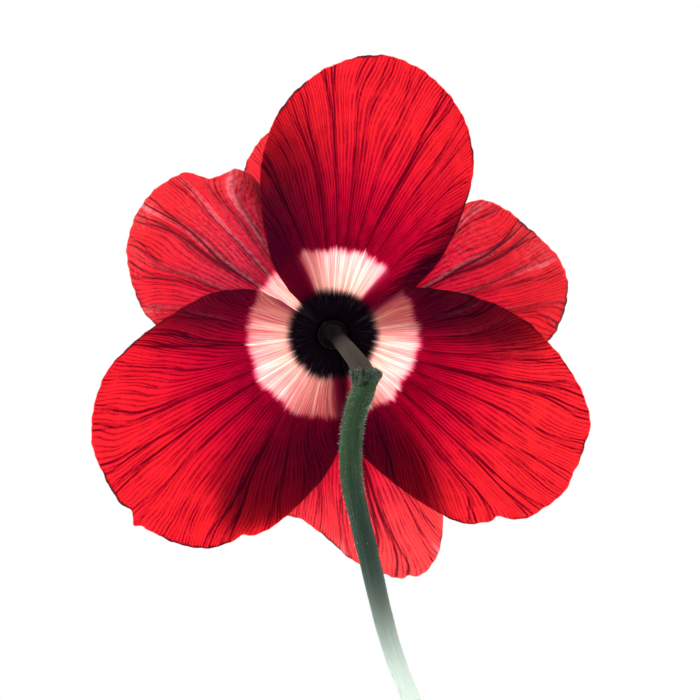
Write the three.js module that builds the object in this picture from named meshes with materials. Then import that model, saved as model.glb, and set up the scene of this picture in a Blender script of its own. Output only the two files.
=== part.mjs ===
// A cut anemone flower lying face down, so that its back and its stem are uppermost.
//
// Seven tepals stand in layers around the swollen end of the stem. They spread out and
// down like an upturned shallow bowl, and the bowl rests on its outermost rims. Under it
// hang a ring of stamens and the domed cluster of pistils. The stem rises from the back
// of the flower, bends at the collar where its leaves were trimmed off, and arches over
// to rest on its cut end.
//
// Millimetres, +Z up. Z = 0 is the surface that the flower lies on, and the middle of the
// flower is at X = 0, Y = 0 until the last lines centre the whole under its bounding box.
import * as THREE from "three";

// ---- driving dimensions ----

const TEPAL_THICKNESS = 0.45;
const RIM_HEIGHT = 0.25; // of a rim's middle surface where it rests
const BASE_RADIUS = 2.65; // where a tepal joins the stem's end
const INNER_TEPAL_HEIGHT = 13.7; // of the inner tepals' bases
const LAYER_STEP = 1.05; // from one layer of tepals to the next, at their bases
const BOWL_POWER = 1.9; // how the bowl steepens towards its rim
const CUP_DEPTH = 0.9; // how far a tepal's side margins drop below its midline
const TEPAL_COLUMNS = 26;
const TEPAL_ROWS = 8;

const STEM_SIDES = 12;
const STEM_STEPS = 44;

const COLLAR_INNER_RADIUS = 2.05;
const COLLAR_OUTER_RADIUS = 2.75;
const COLLAR_LENGTH = 2.2;

const PISTIL_RADIUS = 3.3;
const PISTIL_TOP = 9.6;
const PISTIL_BOTTOM = 5.2;

const STAMEN_ROWS = [
  { count: 24, rootRadius: 4.4, rootHeight: 11.0, lean: 34, length: 8.6 },
  { count: 16, rootRadius: 3.65, rootHeight: 10.4, lean: 14, length: 6.4 },
];
const FILAMENT_RADIUS = 0.17;
const ANTHER_RADIUS = 0.45;
const ANTHER_LENGTH = 1.7;

// Each tepal's outline runs clockwise, seen from above, from the top of one side of its
// base round the tip to the top of the other. layer counts up from the inner tepals.
const TEPALS = [
  {
    name: "tepal_top",
    layer: 1,
    outline: [
      [-6.9, 6.9], [-9.6, 11.7], [-11.3, 20.0], [-11.2, 28.2], [-8.2, 36.2], [-1.6, 42.5],
      [6.9, 45.1], [14.3, 42.6], [20.2, 36.1], [22.4, 28.1], [20.9, 20.4], [17.0, 11.9],
      [12.7, 7.2],
    ],
  },
  {
    name: "tepal_lower_right",
    layer: 2,
    outline: [
      [9.0, 6.2], [13.0, 7.4], [22.0, 6.1], [30.3, 2.4], [37.4, -5.0], [41.2, -13.0],
      [40.0, -19.0], [37.2, -25.1], [31.4, -29.2], [26.7, -29.4], [20.8, -30.0],
      [13.0, -25.9], [4.6, -19.0], [0.2, -12.5],
    ],
  },
  {
    name: "tepal_lower_left",
    layer: 3,
    outline: [
      [2.4, -10.1], [2.4, -14.6], [-1.4, -22.4], [-9.1, -30.1], [-14.5, -32.3],
      [-21.5, -34.2], [-29.8, -31.3], [-34.6, -26.6], [-38.6, -18.0], [-38.0, -10.3],
      [-34.9, -4.4], [-28.0, 1.5], [-19.8, 6.3], [-13.0, 7.1], [-8.2, 5.4],
    ],
  },
  {
    name: "tepal_upper_left",
    layer: 0,
    outline: [
      [-6.7, 1.0], [-13.5, 0.2], [-22.0, -1.0], [-28.2, 1.6], [-31.7, 6.8], [-33.1, 14.5],
      [-30.2, 21.8], [-24.2, 26.0], [-19.5, 25.0], [-15.2, 26.4], [-11.3, 23.5],
      [-7.3, 15.5], [-3.2, 6.9],
    ],
  },
  {
    name: "tepal_upper_right",
    layer: 0,
    outline: [
      [4.8, 5.4], [10.2, 9.1], [16.1, 15.0], [21.0, 20.8], [26.2, 20.9], [32.8, 15.9],
      [37.0, 11.1], [37.5, 5.3], [34.2, -1.1], [26.6, -2.9], [21.0, -1.7], [12.9, 1.6],
      [6.3, 0.5],
    ],
  },
  {
    name: "tepal_bottom",
    layer: 0,
    outline: [
      [3.9, -5.4], [7.5, -9.4], [14.2, -17.1], [17.3, -26.0], [17.2, -33.6], [15.0, -37.9],
      [10.6, -39.2], [3.6, -36.3], [-3.5, -30.3], [-7.4, -28.7], [-11.5, -29.6],
      [-15.4, -30.9], [-17.9, -27.5], [-17.4, -21.6], [-14.4, -17.2], [-8.5, -12.3],
      [-3.6, -6.9],
    ],
  },
  {
    name: "tepal_inner_small",
    layer: -1,
    outline: [
      [-4.4, 6.2], [-10.0, 14.0], [-13.4, 21.0], [-14.0, 27.2], [-10.1, 32.9], [-5.6, 33.3],
      [-2.4, 28.0], [-1.4, 18.0], [-1.5, 12.4], [-1.0, 7.4],
    ],
  },
];

// The stem's middle line, from the underside of its swollen end to the cut, and its
// radius there.
const STEM_LINE = [
  { at: [0, 0, 10.0], radius: 2.6 },
  { at: [0, 0, 11.2], radius: 3.9 },
  { at: [0, 0, 12.0], radius: 2.35 },
  { at: [0, 0, 17.2], radius: 2.2 },
  { at: [0, 0.2, 18.8], radius: 1.35 },
  { at: [0.3, 0.1, 20.6], radius: 1.2 },
  { at: [1.3, -1.1, 23.4], radius: 1.22 },
  { at: [2.9, -3.0, 25.6], radius: 1.34 },
  { at: [4.5, -5.2, 26.9], radius: 1.55 },
  { at: [5.0, -6.9, 27.3], radius: 1.7 },
  { at: [4.7, -8.7, 27.3], radius: 1.8 },
  { at: [3.9, -10.7, 27.1], radius: 1.7 },
  { at: [3.2, -13.4, 26.7], radius: 1.65 },
  { at: [2.8, -17.9, 25.6], radius: 1.65 },
  { at: [3.0, -22.5, 23.9], radius: 1.65 },
  { at: [4.0, -27.4, 21.5], radius: 1.6 },
  { at: [6.2, -37.0, 15.7], radius: 1.6 },
  { at: [7.7, -43.6, 11.5], radius: 1.55 },
  { at: [9.3, -49.5, 8.0], radius: 1.5 },
  { at: [11.6, -56.0, 4.9], radius: 1.5 },
  { at: [14.9, -64.5, 2.3], radius: 1.55 },
  { at: [18.0, -72.0, 1.65], radius: 1.6 },
  { at: [20.6, -79.0, 1.66], radius: 1.6 },
];
const COLLAR_POINT = 9; // where on the stem's line the collar sits

// ---- materials, one for each piece so that each can be refinished alone ----

function redTissue() {
  return new THREE.MeshStandardMaterial({ color: 0xc8102a, roughness: 0.5, metalness: 0 });
}

function greenTissue() {
  return new THREE.MeshStandardMaterial({ color: 0x35563f, roughness: 0.6, metalness: 0 });
}

function darkTissue() {
  return new THREE.MeshStandardMaterial({ color: 0x17121f, roughness: 0.7, metalness: 0 });
}

// ---- closed shells made from rings or grids of points ----

function closedGeometry(points, faces) {
  const geometry = new THREE.BufferGeometry();
  const flat = points.flatMap((p) => [p.x, p.y, p.z]);
  geometry.setAttribute("position", new THREE.Float32BufferAttribute(flat, 3));
  geometry.setIndex(faces.flat());
  geometry.computeVertexNormals();
  return geometry;
}

// A grid of points thickened into a closed sheet: upper and lower faces, joined all round.
function sheetGeometry(upper, lower) {
  const rows = upper.length;
  const columns = upper[0].length;
  const points = [...upper.flat(), ...lower.flat()];
  const up = (row, column) => row * columns + column;
  const down = (row, column) => rows * columns + up(row, column);
  const faces = [];
  for (let row = 0; row + 1 < rows; row += 1) {
    for (let column = 0; column + 1 < columns; column += 1) {
      const a = up(row, column);
      const b = up(row + 1, column);
      const c = up(row + 1, column + 1);
      const d = up(row, column + 1);
      faces.push([a, c, b], [a, d, c]);
      const lift = rows * columns;
      faces.push([a + lift, b + lift, c + lift], [a + lift, c + lift, d + lift]);
    }
  }
  const wall = (cells) => {
    for (let i = 0; i + 1 < cells.length; i += 1) {
      const [r0, c0] = cells[i];
      const [r1, c1] = cells[i + 1];
      faces.push([up(r0, c0), down(r1, c1), down(r0, c0)]);
      faces.push([up(r0, c0), up(r1, c1), down(r1, c1)]);
    }
  };
  const count = (n) => [...Array(n).keys()];
  wall(count(rows).map((row) => [row, 0]));
  wall(count(columns).map((column) => [rows - 1, column]));
  wall(count(rows).map((row) => [rows - 1 - row, columns - 1]));
  wall(count(columns).map((column) => [0, columns - 1 - column]));
  return closedGeometry(points, faces);
}

// Rings of the same number of points, joined into a closed tube with a point at each end.
function ringGeometry(rings) {
  const sides = rings[0].length;
  const points = rings.flat();
  const faces = [];
  for (let ring = 0; ring + 1 < rings.length; ring += 1) {
    for (let side = 0; side < sides; side += 1) {
      const next = (side + 1) % sides;
      const a = ring * sides + side;
      const b = ring * sides + next;
      faces.push([a, b, b + sides], [a, b + sides, a + sides]);
    }
  }
  for (const [ring, flip] of [[0, true], [rings.length - 1, false]]) {
    const middle = new THREE.Vector3();
    rings[ring].forEach((p) => middle.addScaledVector(p, 1 / sides));
    const hub = points.push(middle) - 1;
    for (let side = 0; side < sides; side += 1) {
      const a = ring * sides + side;
      const b = ring * sides + ((side + 1) % sides);
      faces.push(flip ? [hub, b, a] : [hub, a, b]);
    }
  }
  return closedGeometry(points, faces);
}

// ---- the tepals ----

// The height of a tepal's middle surface: a bowl from its base down to its rim, with the
// side margins a little lower than the midline.
function tepalHeight(layer, reach, x, y, across) {
  const base = INNER_TEPAL_HEIGHT + layer * LAYER_STEP;
  const out = Math.hypot(x, y) / reach;
  const fall = Math.min(1, out ** BOWL_POWER);
  const cup = CUP_DEPTH * across * across * Math.sin(Math.PI * Math.min(1, out));
  return RIM_HEIGHT + (base - RIM_HEIGHT) * (1 - fall) - cup;
}

function tepalMesh({ name, layer, outline }) {
  const margin = new THREE.SplineCurve(outline.map(([x, y]) => new THREE.Vector2(x, y)));
  const edge = margin.getSpacedPoints(TEPAL_COLUMNS);
  const reach = Math.max(...edge.map((rim) => rim.length()));
  const start = Math.atan2(edge[0].y, edge[0].x);
  const end = Math.atan2(edge[TEPAL_COLUMNS].y, edge[TEPAL_COLUMNS].x);
  const turn = THREE.MathUtils.euclideanModulo(start - end, 2 * Math.PI);
  const middle = [];
  for (let row = 0; row <= TEPAL_ROWS; row += 1) {
    const out = (row / TEPAL_ROWS) ** 1.15;
    middle.push(edge.map((rim, column) => {
      const angle = start - (turn * column) / TEPAL_COLUMNS;
      const x = THREE.MathUtils.lerp(BASE_RADIUS * Math.cos(angle), rim.x, out);
      const y = THREE.MathUtils.lerp(BASE_RADIUS * Math.sin(angle), rim.y, out);
      const across = (2 * column) / TEPAL_COLUMNS - 1;
      return new THREE.Vector3(x, y, tepalHeight(layer, reach, x, y, across));
    }));
  }
  const shifted = (by) => middle.map((row) => row.map((p) => p.clone().setZ(p.z + by)));
  const half = TEPAL_THICKNESS / 2;
  const geometry = sheetGeometry(shifted(half), shifted(-half));
  const mesh = new THREE.Mesh(geometry, redTissue());
  mesh.name = name;
  return mesh;
}

// ---- the stem, with its swollen end ----

const stemCurve = new THREE.CatmullRomCurve3(
  STEM_LINE.map(({ at }) => new THREE.Vector3(...at)),
  false,
  "centripetal",
);

function stemRadius(t) {
  const along = t * (STEM_LINE.length - 1);
  const i = Math.min(Math.floor(along), STEM_LINE.length - 2);
  return THREE.MathUtils.lerp(STEM_LINE[i].radius, STEM_LINE[i + 1].radius, along - i);
}

// A frame that is carried along the stem without twisting.
function stemFrames(steps) {
  const frames = [];
  let across = new THREE.Vector3(1, 0, 0);
  for (let step = 0; step <= steps; step += 1) {
    const t = step / steps;
    const tangent = stemCurve.getTangent(t);
    across = across.clone().addScaledVector(tangent, -across.dot(tangent)).normalize();
    const beside = new THREE.Vector3().crossVectors(tangent, across);
    frames.push({ t, tangent, across, beside, at: stemCurve.getPoint(t) });
  }
  return frames;
}

function circle(at, across, beside, radius, sides) {
  const points = [];
  for (let side = 0; side < sides; side += 1) {
    const angle = (2 * Math.PI * side) / sides;
    const point = at.clone().addScaledVector(across, radius * Math.cos(angle));
    points.push(point.addScaledVector(beside, radius * Math.sin(angle)));
  }
  return points;
}

function stemMesh() {
  const rings = stemFrames(STEM_STEPS).map(({ t, at, across, beside }) =>
    circle(at, across, beside, stemRadius(t), STEM_SIDES));
  const mesh = new THREE.Mesh(ringGeometry(rings), greenTissue());
  mesh.name = "stem";
  return mesh;
}

// ---- the collar: the trimmed bases of the ring of leaves under the flower ----

function collarMesh() {
  const t = COLLAR_POINT / (STEM_LINE.length - 1);
  const profile = [
    [COLLAR_INNER_RADIUS, -COLLAR_LENGTH / 2],
    [COLLAR_OUTER_RADIUS - 0.25, -COLLAR_LENGTH / 2],
    [COLLAR_OUTER_RADIUS, 0],
    [COLLAR_OUTER_RADIUS - 0.15, COLLAR_LENGTH / 2],
    [COLLAR_INNER_RADIUS, COLLAR_LENGTH / 2],
    [COLLAR_INNER_RADIUS, -COLLAR_LENGTH / 2],
  ].map(([radius, along]) => new THREE.Vector2(radius, along));
  const geometry = new THREE.LatheGeometry(profile, 16);
  const mesh = new THREE.Mesh(geometry, greenTissue());
  mesh.position.copy(stemCurve.getPoint(t));
  mesh.quaternion.setFromUnitVectors(new THREE.Vector3(0, 1, 0), stemCurve.getTangent(t));
  mesh.name = "leaf_collar";
  return mesh;
}

// ---- the pistils, grown together into a dome ----

function pistilMesh() {
  const height = PISTIL_TOP - PISTIL_BOTTOM;
  const profile = [new THREE.Vector2(0, -height)];
  for (let step = 1; step <= 6; step += 1) {
    const angle = (Math.PI / 2) * (step / 6);
    profile.push(new THREE.Vector2(PISTIL_RADIUS * Math.sin(angle), -height * Math.cos(angle)));
  }
  profile.push(new THREE.Vector2(0, 0));
  const mesh = new THREE.Mesh(new THREE.LatheGeometry(profile, 18), darkTissue());
  mesh.rotation.x = Math.PI / 2;
  mesh.position.z = PISTIL_TOP;
  mesh.name = "pistil_cluster";
  return mesh;
}

// ---- the stamens: a thin filament and a fat anther turned as one profile ----

function stamenMesh(name, row, turn) {
  const neck = row.length - ANTHER_LENGTH;
  const profile = [
    [0, 0],
    [FILAMENT_RADIUS, 0],
    [FILAMENT_RADIUS, neck],
    [ANTHER_RADIUS, neck + ANTHER_LENGTH * 0.3],
    [ANTHER_RADIUS, neck + ANTHER_LENGTH * 0.7],
    [0, row.length],
  ].map(([radius, along]) => new THREE.Vector2(radius, along));
  const mesh = new THREE.Mesh(new THREE.LatheGeometry(profile, 5), darkTissue());
  const lean = THREE.MathUtils.degToRad(row.lean);
  const out = new THREE.Vector3(Math.cos(turn), Math.sin(turn), 0);
  const along = out.clone().multiplyScalar(Math.sin(lean)).setZ(-Math.cos(lean));
  mesh.quaternion.setFromUnitVectors(new THREE.Vector3(0, 1, 0), along);
  mesh.position.copy(out.multiplyScalar(row.rootRadius)).setZ(row.rootHeight);
  mesh.name = name;
  return mesh;
}

// ---- the flower ----

const flower = new THREE.Group();
TEPALS.forEach((tepal) => flower.add(tepalMesh(tepal)));
flower.add(stemMesh(), collarMesh(), pistilMesh());
STAMEN_ROWS.forEach((row, ring) => {
  for (let i = 0; i < row.count; i += 1) {
    const name = `stamen_${ring + 1}_${String(i + 1).padStart(2, "0")}`;
    const turn = (2 * Math.PI * (i + ring / 2)) / row.count;
    flower.add(stamenMesh(name, row, turn));
  }
});

// The origin is under the middle of the bounding box, on the surface.
const box = new THREE.Box3().setFromObject(flower, true);
const middle = box.getCenter(new THREE.Vector3());
flower.position.set(-middle.x, -middle.y, -box.min.z);
flower.updateMatrixWorld(true);

export default flower;
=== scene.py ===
import math

import bpy
import numpy as np
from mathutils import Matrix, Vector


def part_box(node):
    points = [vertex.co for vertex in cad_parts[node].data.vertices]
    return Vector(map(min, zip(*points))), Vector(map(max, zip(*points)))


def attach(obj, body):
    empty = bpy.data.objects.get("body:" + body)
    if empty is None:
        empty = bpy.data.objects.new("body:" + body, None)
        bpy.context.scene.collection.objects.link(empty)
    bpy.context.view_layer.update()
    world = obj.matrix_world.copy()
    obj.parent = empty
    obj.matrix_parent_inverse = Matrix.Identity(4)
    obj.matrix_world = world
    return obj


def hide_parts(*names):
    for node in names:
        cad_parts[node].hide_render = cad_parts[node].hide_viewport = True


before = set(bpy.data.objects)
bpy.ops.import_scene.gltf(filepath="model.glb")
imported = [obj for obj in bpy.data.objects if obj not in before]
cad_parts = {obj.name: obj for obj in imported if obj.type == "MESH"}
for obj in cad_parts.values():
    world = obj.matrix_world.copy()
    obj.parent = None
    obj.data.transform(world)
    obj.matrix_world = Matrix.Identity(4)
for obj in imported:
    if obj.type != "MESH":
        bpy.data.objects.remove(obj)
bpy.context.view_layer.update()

# ---------------------------------------------------------------------------
# Camera. It hangs straight above the flower, which lies face down, and looks
# at the back of it with a long lens. The top tepal is at the top of the view.
# ---------------------------------------------------------------------------
MM = 0.001
PISTIL_BOTTOM = 5.2

# Places are in millimetres from the flower's axis, which runs through the dome of pistils.
dome_low, dome_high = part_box("pistil_cluster")
AXIS = np.array([(dome_low[0] + dome_high[0]) / 2, (dome_low[1] + dome_high[1]) / 2, 0.0]) / MM
LIFT = dome_low[2] / MM - PISTIL_BOTTOM

# The view is VIEW_WIDTH wide at VIEW_HEIGHT above what the flower rests on.
VIEW_WIDTH = 112.0
VIEW_HEIGHT = 3.0
VIEW_CENTRE = (2.7, -2.4)
LENS = 150.0
FILM = 36.0

camera = bpy.data.objects.new("camera", bpy.data.cameras.new("camera"))
camera.data.lens = LENS
camera.data.sensor_width = FILM
camera.data.clip_start = 0.01
camera.location = (
    (AXIS[0] + VIEW_CENTRE[0]) * MM,
    (AXIS[1] + VIEW_CENTRE[1]) * MM,
    (VIEW_WIDTH / FILM * LENS + VIEW_HEIGHT) * MM,
)
bpy.context.collection.objects.link(camera)
bpy.context.scene.camera = camera


# ---------------------------------------------------------------------------
# Light table. A plain white sheet under the flower, lit evenly from below, as
# petals are lit to show their veins, with a soft lamp above. It looks plain
# white, but shines through thin tissue GLOW times as strongly.
# ---------------------------------------------------------------------------
class Wire:
    """A shader socket that takes part in arithmetic, which adds Math nodes."""

    def __init__(self, paint, socket):
        self.paint = paint
        self.socket = socket

    def math(self, operation, *others):
        return self.paint.node("ShaderNodeMath", {"operation": operation}, [self, *others])

    def __add__(self, other):
        return self.math("ADD", other)

    __radd__ = __add__

    def __sub__(self, other):
        return self.math("SUBTRACT", other)

    def __rsub__(self, other):
        return self.paint.node("ShaderNodeMath", {"operation": "SUBTRACT"}, [other, self])

    def __mul__(self, other):
        return self.math("MULTIPLY", other)

    __rmul__ = __mul__

    def __truediv__(self, other):
        return self.math("DIVIDE", other)

    def __abs__(self):
        return self.math("ABSOLUTE")

    def step(self, low, high):
        """Rises smoothly from 0 at low to 1 at high. low may be more than high."""
        falls = not isinstance(low, Wire) and not isinstance(high, Wire) and low > high
        ends = [high, low] if falls else [low, high]
        rise = self.paint.node(
            "ShaderNodeMapRange",
            {"interpolation_type": "SMOOTHSTEP"},
            {"Value": self, "From Min": ends[0], "From Max": ends[1]},
        )
        return 1 - rise if falls else rise


class Paint:
    """A material, and the one way in which nodes are added to it."""

    def __init__(self, name):
        self.material = bpy.data.materials.new(name)
        self.material.use_nodes = True
        self.tree = self.material.node_tree
        self.tree.nodes.clear()

    def node(self, kind, settings=None, sockets=(), out=0):
        made = self.tree.nodes.new(kind)
        for name, value in (settings or {}).items():
            setattr(made, name, value)
        pairs = sockets.items() if isinstance(sockets, dict) else enumerate(sockets)
        for key, value in pairs:
            if isinstance(value, Wire):
                self.tree.links.new(value.socket, made.inputs[key])
            else:
                made.inputs[key].default_value = value
        return Wire(self, made.outputs[out])

    def attribute(self, name):
        return self.node("ShaderNodeAttribute", {"attribute_name": name}, out="Fac")

    def vector(self, x, y, z):
        return self.node("ShaderNodeCombineXYZ", sockets=[x, y, z])

    def noise(self, vector, scale, detail=2.0, roughness=0.5):
        return self.node(
            "ShaderNodeTexNoise",
            sockets={"Vector": vector, "Scale": scale, "Detail": detail, "Roughness": roughness},
        )

    def mix(self, amount, first, second):
        return self.node(
            "ShaderNodeMix",
            {"data_type": "RGBA"},
            {0: amount, 6: first, 7: second},
            out=2,
        )

    def blend(self, amount, first, second):
        return self.node("ShaderNodeMixShader", sockets=[amount, first, second])

    def show(self, shader):
        output = self.tree.nodes.new("ShaderNodeOutputMaterial")
        self.tree.links.new(shader.socket, output.inputs["Surface"])
        return self.material


GLOW = 9.0
SHEET_SIDE = 4.0
SHEET_DROP = 0.0004
AMBIENT = 0.16
LAMP_PLACE = (-0.35, 0.30, 0.55)
LAMP_SIDE = 0.25
LAMP_WATTS = 1.0

sheet_paint = Paint("glowing sheet")
through_tissue = sheet_paint.node("ShaderNodeLightPath", out="Is Transmission Ray")
strength = 1.0 + (GLOW - 1.0) * through_tissue
glow = sheet_paint.node(
    "ShaderNodeEmission", sockets={"Color": (1.0, 1.0, 1.0, 1.0), "Strength": strength}
)
half_sheet = SHEET_SIDE / 2
sheet_mesh = bpy.data.meshes.new("light_table")
sheet_mesh.from_pydata(
    [
        (-half_sheet, -half_sheet, -SHEET_DROP),
        (half_sheet, -half_sheet, -SHEET_DROP),
        (half_sheet, half_sheet, -SHEET_DROP),
        (-half_sheet, half_sheet, -SHEET_DROP),
    ],
    [],
    [(0, 1, 2, 3)],
)
sheet_mesh.materials.append(sheet_paint.show(glow))
sheet_paint.material.cycles.emission_sampling = "NONE"
light_table = bpy.data.objects.new("light_table", sheet_mesh)
bpy.context.collection.objects.link(light_table)

# The white surround, too, is only as bright as AMBIENT on the flower itself.
world = bpy.data.worlds.new("white studio")
world.use_nodes = True
bpy.context.scene.world = world
world_nodes = world.node_tree.nodes
world_links = world.node_tree.links
world_nodes.clear()
seen_by = world_nodes.new("ShaderNodeLightPath")
level = world_nodes.new("ShaderNodeMapRange")
level.inputs["To Min"].default_value = AMBIENT
level.inputs["To Max"].default_value = 1.0
sky = world_nodes.new("ShaderNodeBackground")
world_out = world_nodes.new("ShaderNodeOutputWorld")
world_links.new(seen_by.outputs["Is Camera Ray"], level.inputs["Value"])
world_links.new(level.outputs[0], sky.inputs["Strength"])
world_links.new(sky.outputs[0], world_out.inputs["Surface"])
bpy.context.scene.view_settings.view_transform = "Standard"

light = bpy.data.lights.new("soft_lamp", "AREA")
light.size = LAMP_SIDE
light.energy = LAMP_WATTS
lamp = bpy.data.objects.new("soft_lamp", light)
lamp.location = LAMP_PLACE
lamp.rotation_euler = lamp.location.to_track_quat("Z", "Y").to_euler()
bpy.context.collection.objects.link(lamp)

# ---------------------------------------------------------------------------
# Tepals. Seven thin red petals in layers, each grown from a broad base on the
# stem's end, with a white ring and a black-purple patch near it and a fan of
# forking veins. They are soft tissue about a quarter of a millimetre thick.
# ---------------------------------------------------------------------------
TEPAL_THICKNESS = 0.26
RIM_HEIGHT = 0.25
BASE_RADIUS = 2.65
INNER_TEPAL_HEIGHT = 13.7
LAYER_STEP = 1.05
BOWL_POWER = 1.9
CUP_DEPTH = 0.9
FLOOR_GAP = 0.03
LEAST_THICKNESS = 0.08
COLUMNS = 280
ROWS = 64

# For each tepal: its layer, from -1 for the innermost to 3; how many main veins it has;
# the colour it lets through near its margin; the side of its veins that catches the light,
# and where a pale sheen is painted on (x, y, spread, strength); how high ridges and puckers
# stand; the part of its width that the white ring covers; how far its margin waves; and its
# outline, with the nicks in it (x, y, depth, width), where a negative depth is a point that stands
# out.
TEPALS = [
    {
        "name": "tepal_top",
        "layer": 1,
        "veins": 14,
        "tint": (0.58, 0.078, 0.09),
        "lit_side": 0,
        "painted_sheens": [
            (-9, 22, 4, 0.15),
        ],
        "ridge": 0.1,
        "pucker": 0.1,
        "ring": (-0.66, 0.66),
        "wave": 0.30,
        "seed": 3,
        "outline": [
            (-6.9, 6.9), (-9.6, 11.7), (-11.3, 20.0), (-11.2, 28.2), (-8.2, 36.2), (-1.6, 42.5),
            (6.9, 45.1), (14.3, 42.6), (20.2, 36.1), (22.4, 28.1), (20.9, 20.4), (17.0, 11.9),
            (12.7, 7.2),
        ],
        "nicks": [],
    },
    {
        "name": "tepal_lower_right",
        "layer": 2,
        "veins": 13,
        "tint": (0.6, 0.085, 0.095),
        "lit_side": -1,
        "painted_sheens": [
            (20, 3.5, 4.5, 0.16),
            (29, -1, 4, 0.1),
        ],
        "ridge": 0.12,
        "pucker": 0.12,
        "ring": (-0.93, 0.8),
        "wave": 0.30,
        "seed": 5,
        "outline": [
            (9.0, 6.2), (13.0, 7.4), (22.0, 6.1), (30.3, 2.4), (37.4, -5.0), (41.2, -13.0),
            (40.0, -19.0), (37.2, -25.1), (31.4, -29.2), (26.7, -29.4), (20.8, -30.0),
            (13.0, -25.9), (4.6, -19.0), (0.2, -12.5),
        ],
        "nicks": [(38.3, -21.9, 0.8, 0.7), (26.7, -29.4, 0.7, 0.8)],
    },
    {
        "name": "tepal_lower_left",
        "layer": 3,
        "veins": 13,
        "tint": (0.58, 0.072, 0.085),
        "lit_side": 1,
        "painted_sheens": [
            (-20, 3, 4, 0.15),
        ],
        "ridge": 0.14,
        "pucker": 0.14,
        "ring": (-0.86, 0.97),
        "wave": 0.30,
        "seed": 7,
        "outline": [
            (2.4, -10.1), (2.4, -14.6), (-1.4, -22.4), (-9.1, -30.1), (-14.5, -32.3),
            (-21.5, -34.2), (-29.8, -31.3), (-34.6, -26.6), (-38.6, -18.0), (-38.0, -10.3),
            (-34.9, -4.4), (-28.0, 1.5), (-19.8, 6.3), (-13.0, 7.1), (-8.2, 5.4),
        ],
        "nicks": [(-32.8, -28.4, 1.0, 0.9), (-31.3, -29.9, -1.1, 0.55), (-14.5, -32.3, 0.6, 0.8)],
    },
    {
        "name": "tepal_upper_left",
        "layer": 0,
        "veins": 10,
        "tint": (0.58, 0.07, 0.08),
        "lit_side": 1,
        "painted_sheens": [
            (-17, 20.5, 8, 1.0),
            (-12, 12, 6, 0.5),
            (-19, 9, 9, 0.25),
            (-30.5, 19.5, 2.4, 1.7),
            (-32.6, 10.5, 2.0, 1.5),
            (-29.5, 1.2, 3.0, 1.3),
        ],
        "ridge": 0.42,
        "pucker": 0.3,
        "ring": (-0.95, 0.95),
        "wave": 0.5,
        "seed": 11,
        "outline": [
            (-6.7, 1.0), (-13.5, 0.2), (-22.0, -1.0), (-28.2, 1.6), (-31.7, 6.8), (-33.1, 14.5),
            (-30.2, 21.8), (-24.2, 26.0), (-19.5, 25.0), (-15.2, 26.4), (-11.3, 23.5),
            (-7.3, 15.5), (-3.2, 6.9),
        ],
        "nicks": [],
    },
    {
        "name": "tepal_upper_right",
        "layer": 0,
        "veins": 10,
        "tint": (0.52, 0.068, 0.078),
        "lit_side": -1,
        "painted_sheens": [
            (14, 14, 8, 0.8),
            (20, 19, 6, 0.7),
            (22, 9, 8, 0.2),
            (32, 12.5, 3.2, 1.1),
        ],
        "ridge": 0.4,
        "pucker": 0.28,
        "ring": (-0.95, 0.95),
        "wave": 0.4,
        "seed": 13,
        "outline": [
            (4.8, 5.4), (10.2, 9.1), (16.1, 15.0), (21.0, 20.8), (26.2, 20.9), (32.8, 15.9),
            (37.0, 11.1), (37.5, 5.3), (34.2, -1.1), (26.6, -2.9), (21.0, -1.7), (12.9, 1.6),
            (6.3, 0.5),
        ],
        "nicks": [],
    },
    {
        "name": "tepal_bottom",
        "layer": 0,
        "veins": 12,
        "tint": (0.66, 0.15, 0.15),
        "lit_side": 1,
        "painted_sheens": [
            (1.2, -34.6, 1.6, 1.6),
            (17, -34, 1.3, 1.0),
            (15, -24, 2.5, 0.3),
        ],
        "ridge": 0.2,
        "pucker": 0.2,
        "ring": (-0.95, 0.95),
        "wave": 0.4,
        "seed": 17,
        "outline": [
            (3.9, -5.4), (7.5, -9.4), (14.2, -17.1), (17.3, -26.0), (17.2, -33.6), (15.0, -37.9),
            (10.6, -39.2), (3.6, -36.3), (-3.5, -30.3), (-7.4, -28.7), (-11.5, -29.6),
            (-15.4, -30.9), (-17.9, -27.5), (-17.4, -21.6), (-14.4, -17.2), (-8.5, -12.3),
            (-3.6, -6.9),
        ],
        "nicks": [(12.2, -38.9, 0.7, 0.8), (8.6, -38.6, 0.4, 0.6)],
    },
    {
        "name": "tepal_inner_small",
        "layer": -1,
        "veins": 7,
        "tint": (0.62, 0.1, 0.1),
        "lit_side": 1,
        "painted_sheens": [],
        "ridge": 0.16,
        "pucker": 0.14,
        "ring": (-0.95, 0.95),
        "wave": 0.3,
        "seed": 19,
        "outline": [
            (-4.4, 6.2), (-10.0, 14.0), (-13.4, 21.0), (-14.0, 27.2), (-10.1, 32.9), (-5.6, 33.3),
            (-2.4, 28.0), (-1.4, 18.0), (-1.5, 12.4), (-1.0, 7.4),
        ],
        "nicks": [],
    },
]


def through_points(values, steps):
    """Values on a smooth curve through the given ones, steps to each stretch."""
    given = np.array(values, float)
    given = given.reshape(len(given), -1)
    padded = np.vstack([2 * given[:1] - given[1:2], given, 2 * given[-1:] - given[-2:-1]])
    share = np.linspace(0, 1, steps, endpoint=False)[:, None]
    runs = []
    for before, start, end, after in zip(padded, padded[1:], padded[2:], padded[3:]):
        runs.append(
            (2 * share**3 - 3 * share**2 + 1) * start
            + (share**3 - 2 * share**2 + share) * (end - before) / 2
            + (3 * share**2 - 2 * share**3) * end
            + (share**3 - share**2) * (after - start) / 2
        )
    return np.vstack([*runs, given[-1:]])


def travel(line):
    """How far along the line each of its points is."""
    return np.concatenate([[0], np.cumsum(np.linalg.norm(np.diff(line, axis=0), axis=1))])


def spaced(points, count):
    """count + 1 evenly spaced points on a smooth curve through the points."""
    curve = through_points(points, 40)
    lengths = travel(curve)
    wanted = np.linspace(0, lengths[-1], count + 1)
    return np.stack([np.interp(wanted, lengths, curve[:, i]) for i in range(2)], axis=1)


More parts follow.
